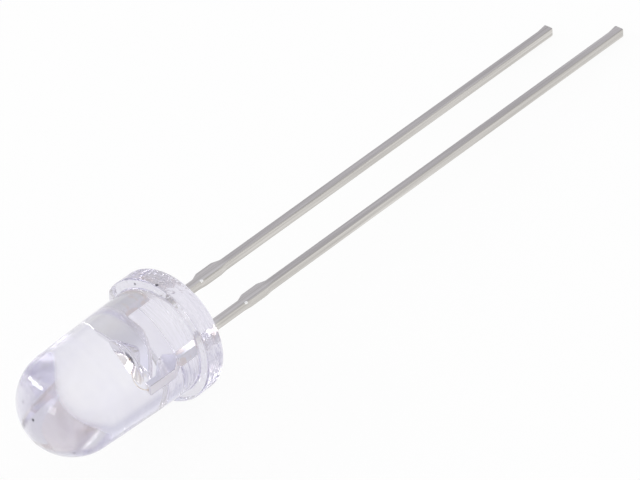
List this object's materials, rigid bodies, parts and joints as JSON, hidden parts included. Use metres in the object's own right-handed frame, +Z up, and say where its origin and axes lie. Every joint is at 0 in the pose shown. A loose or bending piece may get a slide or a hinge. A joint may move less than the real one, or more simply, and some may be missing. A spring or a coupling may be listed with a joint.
{
  "type": "through hole led",
  "caption": "Round water-clear LED with a domed lens, a flange with a flat and square leads with stand-off nibs, lying on its side.",
  "frame": {"origin": "centre of the base of the flange, on the lens axis; the surface that the LED lies on is 2.92 mm below", "axes": "+Z up as it lies; +X along the LED from the leads to the dome, the lens axis rising 5.5 degrees from it; +Y from the cathode to the anode"},
  "size_m": [0.0375, 0.0055, 0.0059],
  "materials": {
    "clear_epoxy": "gloss",
    "plated_lead": "satin",
    "chip": "satin",
    "silver_adhesive": "matte",
    "gold_wire": "polished"
  },
  "bodies": {
    "root": {"lens": "clear_epoxy", "cathode_lead": "plated_lead", "anode_lead": "plated_lead", "die": "chip", "die_attach": "silver_adhesive", "bond_wire": "gold_wire"}
  },
  "joints": []
}
